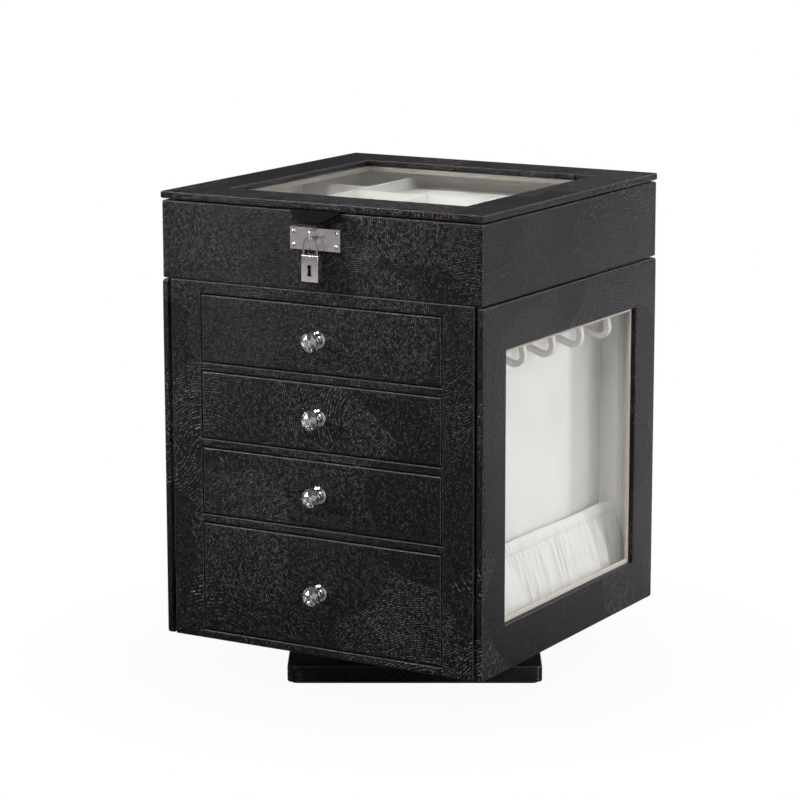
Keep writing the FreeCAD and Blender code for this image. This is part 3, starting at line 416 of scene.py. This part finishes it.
def pouch_cloth(name, colour):
    """A thin polyester satin, whose threads run with the piece's own UV map."""
    material, tree = start_material(name)
    threads = add_node(tree, "ShaderNodeTexCoord").outputs["UV"]
    fine = add_node(tree, "ShaderNodeMapping", {"Vector": threads, "Scale": (900.0, 260.0, 1.0)})
    weave = add_node(tree, "ShaderNodeTexNoise", {"Vector": fine.outputs[0], "Scale": 1.0, "Detail": 1.0})
    shade = in_range(tree, weave.outputs["Fac"], 0.25, 0.75, 0.95, 1.03)
    tint = add_node(tree, "ShaderNodeVectorMath", {0: colour, "Scale": shade}, operation="SCALE")
    bump = add_node(tree, "ShaderNodeBump", {"Height": weave.outputs["Fac"], "Strength": 0.2,
                                             "Distance": 0.1 * mm})
    shader = add_node(tree, "ShaderNodeBsdfPrincipled", {
        "Base Color": tint.outputs[0], "Roughness": 0.55, "Normal": bump.outputs[0],
        "Sheen Weight": 0.25, "Sheen Roughness": 0.35, "Specular IOR Level": 0.35})
    finish_material(tree, shader)
    return material


cream_velvet = velvet("cream_velvet", (0.84, 0.82, 0.795))
# A darker copy of the cream velvet for the rims of the lid's and doors' linings: painted shade.
shaded_rim_velvet = velvet("shaded_rim_velvet", (0.50, 0.45, 0.395))
pouch_satin = pouch_cloth("pouch_satin", (0.77, 0.755, 0.735))
pad_foam = velvet("pad_foam", (0.02, 0.02, 0.02), pile_size=0.8 * mm)
print("soft finishes:", cream_velvet.name, shaded_rim_velvet.name, pouch_satin.name, pad_foam.name)

# %% [markdown]
# ## Glass and crystal
# A thin flat pane hardly bends what is behind it, so it is a clear film with a mirror on
# top. The mirror's share grows steeply towards a grazing view, as it does on real glass,
# and works from both sides of the pane. The knobs are cut from solid crystal, which bends
# light at each facet. Part of each is given to a mirror, like the foil behind a paste
# stone, and lamps are let straight through so that the knobs don't turn black.

# %% Mix the glasses
def pane_glass(name):
    material, tree = start_material(name)
    clear = add_node(tree, "ShaderNodeBsdfTransparent", {"Color": (0.965, 0.97, 0.965, 1.0)})
    mirror = add_node(tree, "ShaderNodeBsdfGlossy", {"Color": (1.0, 1.0, 1.0, 1.0), "Roughness": 0.03})
    facing = add_node(tree, "ShaderNodeLayerWeight", {"Blend": 0.5}).outputs["Facing"]
    grazing = math_node(tree, "POWER", facing, 8.0)
    share = in_range(tree, grazing, 0.0, 1.0, 0.05, 0.95)
    mixed = add_node(tree, "ShaderNodeMixShader", {0: share, 1: clear.outputs[0], 2: mirror.outputs[0]})
    finish_material(tree, mixed)
    return material


def cut_glass(name, foil_share):
    """Solid glass, of which a share mirrors like the silvered back of a knob's stone."""
    material, tree = start_material(name)
    solid = add_node(tree, "ShaderNodeBsdfPrincipled", {
        "Base Color": (0.98, 0.985, 1.0, 1.0), "Roughness": 0.02, "IOR": 1.7,
        "Transmission Weight": 1.0, "Metallic": foil_share})
    clear = add_node(tree, "ShaderNodeBsdfTransparent", {"Color": (0.92, 0.92, 0.92, 1.0)})
    path = add_node(tree, "ShaderNodeLightPath")
    mixed = add_node(tree, "ShaderNodeMixShader",
                     {0: path.outputs["Is Shadow Ray"], 1: solid.outputs[0], 2: clear.outputs[0]})
    finish_material(tree, mixed)
    return material


window_glass = pane_glass("window_glass")
cut_crystal = cut_glass("cut_crystal", 0.4)
print("clear finishes:", window_glass.name, cut_crystal.name)

# %% [markdown]
# ## Metals, board and plastic
# The fittings are plated steel. Plating is never a perfect mirror: it carries faint
# polishing lines and small dull spots. Little light gets into narrow hollows, such as a
# keyhole, so ambient occlusion darkens them. The hidden boards are raw fibreboard, and
# the hooks are moulded in cream plastic.

# %% Mix the metals and the rest
def plated(name, colour, roughness, brush=(1.0, 1.0, 1.0), brush_depth=0.04):
    """Plating, with painted shade in narrow hollows such as a keyhole."""
    material, tree = start_material(name)
    place = add_node(tree, "ShaderNodeTexCoord").outputs["Object"]
    drawn = add_node(tree, "ShaderNodeMapping", {"Vector": place, "Scale": brush})
    lines = add_node(tree, "ShaderNodeTexNoise", {"Vector": drawn.outputs[0], "Scale": 900.0, "Detail": 2.0})
    spots = add_node(tree, "ShaderNodeTexNoise", {"Vector": place, "Scale": 140.0, "Detail": 3.0})
    mixed = math_node(tree, "ADD", lines.outputs["Fac"], spots.outputs["Fac"])
    rough = in_range(tree, mixed, 0.6, 1.4, roughness * 0.7, roughness * 1.5)
    bump = add_node(tree, "ShaderNodeBump", {"Height": lines.outputs["Fac"], "Strength": brush_depth,
                                             "Distance": 0.05 * mm})
    hollow = add_node(tree, "ShaderNodeAmbientOcclusion", {"Distance": 4.0 * mm}, only_local=True)
    open_share = in_range(tree, hollow.outputs["AO"], 0.35, 0.85, 0.04, 1.0)
    tint = add_node(tree, "ShaderNodeVectorMath", {0: colour, "Scale": open_share}, operation="SCALE")
    shader = add_node(tree, "ShaderNodeBsdfPrincipled", {
        "Base Color": tint.outputs[0], "Metallic": 1.0, "Roughness": rough, "Normal": bump.outputs[0]})
    finish_material(tree, shader)
    return material


def fibreboard(name):
    material, tree = start_material(name)
    place = add_node(tree, "ShaderNodeTexCoord").outputs["Object"]
    fibres = add_node(tree, "ShaderNodeTexNoise", {"Vector": place, "Scale": 800.0, "Detail": 4.0})
    shade = in_range(tree, fibres.outputs["Fac"], 0.3, 0.7, 0.8, 1.15)
    tint = add_node(tree, "ShaderNodeVectorMath", {0: (0.36, 0.25, 0.15), "Scale": shade}, operation="SCALE")
    bump = add_node(tree, "ShaderNodeBump", {"Height": fibres.outputs["Fac"], "Strength": 0.3,
                                             "Distance": 0.1 * mm})
    shader = add_node(tree, "ShaderNodeBsdfPrincipled", {
        "Base Color": tint.outputs[0], "Roughness": 0.85, "Normal": bump.outputs[0]})
    finish_material(tree, shader)
    return material


def moulded_plastic(name, colour):
    material, tree = start_material(name)
    place = add_node(tree, "ShaderNodeTexCoord").outputs["Object"]
    skin = add_node(tree, "ShaderNodeTexNoise", {"Vector": place, "Scale": 400.0, "Detail": 2.0})
    rough = in_range(tree, skin.outputs["Fac"], 0.3, 0.7, 0.36, 0.5)
    bump = add_node(tree, "ShaderNodeBump", {"Height": skin.outputs["Fac"], "Strength": 0.06,
                                             "Distance": 0.1 * mm})
    shader = add_node(tree, "ShaderNodeBsdfPrincipled", {
        "Base Color": (*colour, 1.0), "Roughness": rough, "Normal": bump.outputs[0]})
    finish_material(tree, shader)
    return material


knob_chrome = plated("knob_chrome", (0.80, 0.80, 0.82), 0.07)
lock_nickel = plated("lock_nickel", (0.95, 0.90, 0.89), 0.20, brush=(0.08, 1.0, 1.0), brush_depth=0.03)
shackle_nickel = plated("shackle_nickel", (0.74, 0.72, 0.71), 0.06, brush_depth=0.02)
zinc_steel = plated("zinc_steel", (0.55, 0.55, 0.56), 0.32)
bearing_steel = plated("bearing_steel", (0.62, 0.62, 0.64), 0.12)
raw_board = fibreboard("raw_board")
hook_plastic = moulded_plastic("hook_plastic", (0.80, 0.77, 0.71))
print("materials so far:", len(bpy.data.materials))

# %% [markdown]
# ## Dress the CAD nodes
# Each node of the frame takes the finish of the real piece. Its mesh is loose triangles,
# so a Weld modifier joins them, and an Edge Split modifier keeps the hard edges crisp
# while rounded edges shade smoothly. Facets of the crystals stay flat.

# %% Give every node its finish
drawer_count = 4
sides = ("left", "right")
drawers = ["drawer_%d_" % (number + 1) for number in range(drawer_count)]

finishes = {
    "base_plinth": black_leatherette, "front_frame": black_leatherette, "back_panel": black_leatherette,
    "tray_walls": black_leatherette, "lid_frame": black_leatherette, "lid_pull_tab": shaded_tab_leather,
    "bottom_board": raw_board, "partitions": raw_board, "drawer_shelves": raw_board,
    "side_posts": raw_board, "tray_floor": raw_board,
    "tray_liner": cream_velvet, "lid_liner": shaded_rim_velvet, "necklace_hooks": hook_plastic,
    "lid_glass": window_glass, "lock_plate": lock_nickel, "padlock_body": lock_nickel,
    "padlock_shackle": shackle_nickel, "turntable_balls": bearing_steel,
    "turntable_lower_plate": zinc_steel, "turntable_upper_plate": zinc_steel,
    "turntable_lower_screws": zinc_steel, "turntable_upper_screws": zinc_steel,
    "hinge_fixed_leaves": zinc_steel, "hinge_pins": zinc_steel, "lid_hinge_leaves": zinc_steel,
    "door_magnets": bearing_steel,
}
for side in sides:
    finishes[side + "_compartment_liner"] = cream_velvet
    finishes[side + "_door_frame"] = black_leatherette
    finishes[side + "_door_liner"] = shaded_rim_velvet
    finishes[side + "_door_glass"] = window_glass
    finishes[side + "_door_hinge_leaves"] = zinc_steel
    finishes[side + "_door_strikes"] = zinc_steel
for drawer in drawers:
    finishes[drawer + "front"] = black_leatherette
    finishes[drawer + "box"] = cream_velvet
    finishes[drawer + "knob_mount"] = knob_chrome
    finishes[drawer + "knob_crystal"] = cut_crystal

crisp_angle = math.radians(32)


def dress(name, finish):
    """Puts one finish on a CAD node and smooths its rounded edges."""
    node = nodes[name]
    node.data.materials.clear()
    node.data.materials.append(finish)
    if "crystal" in name:
        return
    node.data.shade_smooth()
    weld = node.modifiers.new("join_triangles", "WELD")
    weld.merge_threshold = 0.002 * mm
    split = node.modifiers.new("crisp_edges", "EDGE_SPLIT")
    split.split_angle = crisp_angle


for name, finish in finishes.items():
    dress(name, finish)
print("finished nodes:", len(finishes), "of", len(nodes))

# %% [markdown]
# ## Helpers for new pieces
# A new piece is a bmesh that becomes an object at the origin, with its place in its
# mesh, so that a pattern on Object coordinates sits where it should.

# %% Turn a bmesh into a piece
def new_piece(name, shape, finish, body, smooth=True):
    mesh = bpy.data.meshes.new(name)
    shape.to_mesh(mesh)
    shape.free()
    piece = bpy.data.objects.new(name, mesh)
    bpy.context.scene.collection.objects.link(piece)
    mesh.materials.append(finish)
    if smooth:
        mesh.shade_smooth()
    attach(piece, body)
    return piece


def smooth_step(value, low, high):
    share = min(1.0, max(0.0, (value - low) / (high - low)))
    return share * share * (3.0 - 2.0 * share)


def box_shape(low, high):
    """A bmesh box between two corners."""
    shape = bmesh.new()
    bmesh.ops.create_cube(shape, size=1.0)
    size = Vector(high) - Vector(low)
    bmesh.ops.scale(shape, vec=size, verts=shape.verts)
    bmesh.ops.translate(shape, vec=(Vector(high) + Vector(low)) / 2, verts=shape.verts)
    return shape


print("piece helpers are ready")

# %% [markdown]
# ## Gathered pouches
# Each side compartment has a pouch of thin satin. The cloth is cut a little wider than
# the compartment and gathered onto an elastic band, which draws it up in fine pleats.
# Below the band the pleats run together into about a dozen uneven folds that fan out over
# the slanted front. Solidify gives the cloth its thickness.

# %% Measure the pouch
pouch_low, pouch_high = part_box("right_pouch")
liner_low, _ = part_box("right_compartment_liner")
backing_thickness = 1.6 * mm
backing_x = liner_low.x + backing_thickness
pouch_half_width = pouch_high.y
pouch_height = pouch_high.z - pouch_low.z
band_height = 9.5 * mm
band_share = band_height / pouch_height
foot_depth = 27.5 * mm
mouth_depth = 7.2 * mm
cloth_thickness = 0.5 * mm
cloth_columns = 520
cloth_rows = 84
main_folds = 13
band_pleats = 62
fold_rise = 5.4
fold_sink = 2.0
fold_sharpness = 1.6
side_fold_height = 0.62
crumple_height = 0.5
print("pouch height in millimetres:", round(pouch_height / mm, 1))

# %% [markdown]
# ## The folds
# A grid is pushed into shape by a few waves: fine ones at the band, and broad ones lower
# down, each fold with its own length. The shares run from 0 to 1, across and up the
# cloth, and the heights of the waves are in millimetres.

# %% Shape the folds
def fold_wave(across, up_share):
    """How far the cloth stands out from its slanted plane, in metres."""
    band = smooth_step(up_share, 1.0 - band_share - 0.05, 1.0 - band_share + 0.02)
    drift = 0.33 * math.sin(across * 11.0 + 0.7) + 0.21 * math.sin(across * 27.0 + 2.0)
    turns = main_folds * across + drift
    number = math.floor(turns)
    reach = 0.5 + 0.5 * noise.noise(Vector((number * 1.73, 4.2, 0.0)))
    ridge = (1.0 - abs(2.0 * (turns - number) - 1.0)) ** fold_sharpness
    swell = math.sin(math.pi * min(1.0, up_share / (1.0 - band_share)) ** 0.8)
    length = smooth_step(up_share, 0.02 + 0.45 * reach, 0.62)
    broad = (0.55 + 0.45 * length) * swell * (fold_rise * ridge - fold_sink)
    split = math.sin(2.0 * math.pi * (2.6 * turns + 0.4 * math.sin(across * 40.0)))
    medium = side_fold_height * split * smooth_step(up_share, 0.30, 0.80)
    pleat = math.sin(2.0 * math.pi * (band_pleats * across + 0.5 * math.sin(across * 31.0)))
    fine = pleat * (0.38 + 0.12 * math.sin(across * 83.0))
    crumple = crumple_height * noise.noise(Vector((across * 34.0, up_share * 7.0, 1.0)))
    return ((broad + medium + crumple) * (1.0 - band) + fine * band + fine * 0.5 * (1.0 - band)
            * smooth_step(up_share, 0.55, 0.85)) * mm


def pouch_point(across, up_share, side_sign):
    """A point of the cloth, from its share of the way across and up."""
    y = -pouch_half_width + 2.0 * pouch_half_width * across
    z = pouch_low.z + pouch_height * up_share
    end_flare = smooth_step(abs(2.0 * across - 1.0), 0.88, 1.0) * up_share
    depth = foot_depth + (mouth_depth - foot_depth) * up_share + 4.0 * mm * end_flare
    settle = 1.0 - smooth_step(abs(2.0 * across - 1.0), 0.985, 1.0)
    depth += fold_wave(across, up_share) * settle
    in_band = smooth_step(up_share, 1.0 - band_share, 1.0 - band_share * 0.8)
    in_band *= 1.0 - smooth_step(up_share, 1.0 - band_share * 0.35, 1.0 - band_share * 0.15)
    depth += 0.7 * mm * in_band
    z -= 1.2 * mm * (0.5 + 0.5 * math.sin(across * 9.0 + 1.0)) * smooth_step(up_share, 0.9, 1.0)
    return Vector((side_sign * (backing_x + depth), y, z))


def make_pouch(side):
    side_sign = 1.0 if side == "right" else -1.0
    shape = bmesh.new()
    threads = shape.loops.layers.uv.new("threads")
    bmesh.ops.create_grid(shape, x_segments=cloth_columns, y_segments=cloth_rows, size=0.5)
    for face in shape.faces:
        for loop in face.loops:
            loop[threads].uv = (loop.vert.co.x + 0.5, loop.vert.co.y + 0.5)
    for vert in shape.verts:
        vert.co = pouch_point(vert.co.x + 0.5, vert.co.y + 0.5, side_sign)
    area = sum(face.calc_area() for face in shape.faces)
    if side_sign < 0:
        bmesh.ops.reverse_faces(shape, faces=shape.faces)
    piece = new_piece(side + "_pouch_cloth", shape, pouch_satin, "cabinet")
    wall = piece.modifiers.new("cloth_thickness", "SOLIDIFY")
    wall.thickness = cloth_thickness
    wall.offset = -1.0
    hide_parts(side + "_pouch")


for side in sides:
    make_pouch(side)

# %% [markdown]
# ## Ring rolls
# The rear of the tray holds seven foam rolls covered in velvet, and rings are pushed down
# between them. Foam under cloth is never quite straight: the top swells between the
# stitched ends and the sides lean on each other. A box gets a round top with a wide
# bevel, is cut into short lengths, and each length is swollen a little differently.

# %% Make the rolls
roll_low, roll_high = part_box("ring_rolls")
roll_count = 7
roll_gap = 0.2 * mm
roll_width = (roll_high.y - roll_low.y + roll_gap) / roll_count - roll_gap
roll_top_radius = roll_width * 0.44
roll_headroom = 0.3 * mm
roll_slices = 46
stitched_reach = 5.0 * mm


def make_roll(number):
    near = roll_low.y + number * (roll_width + roll_gap)
    low = Vector((roll_low.x, near, roll_low.z))
    high = Vector((roll_high.x, near + roll_width, roll_high.z - roll_headroom))
    shape = box_shape(low, high)
    top_edges = [edge for edge in shape.edges
                 if all(vert.co.z > high.z - mm for vert in edge.verts)
                 and abs(edge.verts[0].co.x - edge.verts[1].co.x) > mm]
    bmesh.ops.bevel(shape, geom=top_edges, offset=roll_top_radius, segments=9, profile=0.5,
                    affect="EDGES", material=-1)
    for i in range(1, roll_slices):
        x = low.x + (high.x - low.x) * i / roll_slices
        geometry = shape.verts[:] + shape.edges[:] + shape.faces[:]
        bmesh.ops.bisect_plane(shape, geom=geometry, plane_co=(x, 0.0, 0.0), plane_no=(1.0, 0.0, 0.0))
    middle = near + roll_width / 2
    for vert in shape.verts:
        along = (vert.co.x - low.x) / (high.x - low.x)
        rise = max(0.0, (vert.co.z - low.z) / (high.z - low.z))
        from_end = min(along, 1.0 - along) * (high.x - low.x)
        pull = 1.0 - smooth_step(from_end, 0.0, stitched_reach)
        lump = noise.noise(Vector((vert.co.x * 55.0, number * 3.1, rise * 2.0)))
        vert.co.y = middle + (vert.co.y - middle) * (1.0 - 0.10 * pull * rise - 0.012 * (1.0 + lump))
        vert.co.z -= rise * (1.1 * mm * pull + 0.35 * mm * (1.0 + lump))
    bmesh.ops.recalc_face_normals(shape, faces=shape.faces)
    piece = new_piece("ring_roll_%d" % (number + 1), shape, cream_velvet, "cabinet")
    split = piece.modifiers.new("crisp_edges", "EDGE_SPLIT")
    split.split_angle = math.radians(50)
    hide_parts("ring_rolls")


for number in range(roll_count):
    make_roll(number)
print("ring rolls:", roll_count, "each", round(roll_width / mm, 1), "mm wide")

# %% [markdown]
# ## Pad under the base
# A sheet of dense foam under the plinth keeps it from sliding. Its edge is cut square and
# softened by handling, so the box has its upright corners rounded and a very small bevel
# all round.

# %% Make the pad
pad_low, pad_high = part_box("base_pad")
base_turn = math.radians(30.0)
plinth_side = 182 * mm
pad_inset = 3 * mm
pad_corner_radius = 4 * mm
pad_side = plinth_side - 2 * pad_inset
pad_shape = box_shape((-pad_side / 2, -pad_side / 2, pad_low.z), (pad_side / 2, pad_side / 2, pad_high.z))
upright = [edge for edge in pad_shape.edges if abs(edge.verts[0].co.z - edge.verts[1].co.z) > mm]
bmesh.ops.bevel(pad_shape, geom=upright, offset=pad_corner_radius, segments=6, profile=0.5,
                affect="EDGES", material=-1)
bmesh.ops.rotate(pad_shape, cent=(0.0, 0.0, 0.0), matrix=Matrix.Rotation(base_turn, 3, "Z"),
                 verts=pad_shape.verts)
pad = new_piece("base_foam_pad", pad_shape, pad_foam, "base", smooth=False)
soft_edge = pad.modifiers.new("soft_edge", "BEVEL")
soft_edge.width = 0.25 * mm
soft_edge.segments = 2
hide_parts("base_pad")
print("pad side in millimetres:", round(pad_side / mm))

# %% [markdown]
# ## Rivets of the lock plate
# Four small domed rivets hold the lock plate. Each is a flattened half ball with a thin
# rim, spun from a short profile.

# %% Make the rivets
plate_low, plate_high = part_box("lock_plate")
plate_face_y = -134.0 * mm
rivet_radius = 1.5 * mm
rivet_inset = 3.2 * mm


def add_rivet(shape, x, z):
    """Spins a domed head about an axis that stands out of the plate."""
    profile = [(rivet_radius, 0.02), (rivet_radius, 0.18), (rivet_radius * 0.85, 0.5),
               (rivet_radius * 0.55, 0.78), (rivet_radius * 0.25, 0.9), (0.0, 0.93)]
    verts = [shape.verts.new((x + radius, plate_face_y - height * mm, z)) for radius, height in profile]
    edges = [shape.edges.new(pair) for pair in zip(verts, verts[1:])]
    bmesh.ops.spin(shape, geom=verts + edges, cent=(x, plate_face_y, z), axis=(0.0, 1.0, 0.0),
                   angle=2.0 * math.pi, steps=20, use_merge=True)


rivet_shape = bmesh.new()
for x in (plate_low.x + rivet_inset, plate_high.x - rivet_inset):
    for z in (plate_low.z + rivet_inset, plate_high.z - rivet_inset):
        add_rivet(rivet_shape, x, z)
bmesh.ops.remove_doubles(rivet_shape, verts=rivet_shape.verts, dist=0.001 * mm)
bmesh.ops.recalc_face_normals(rivet_shape, faces=rivet_shape.faces)
rivet_faces = len(rivet_shape.faces)
new_piece("lock_plate_rivets", rivet_shape, shackle_nickel, "cabinet")
print("faces of the four rivets:", rivet_faces)
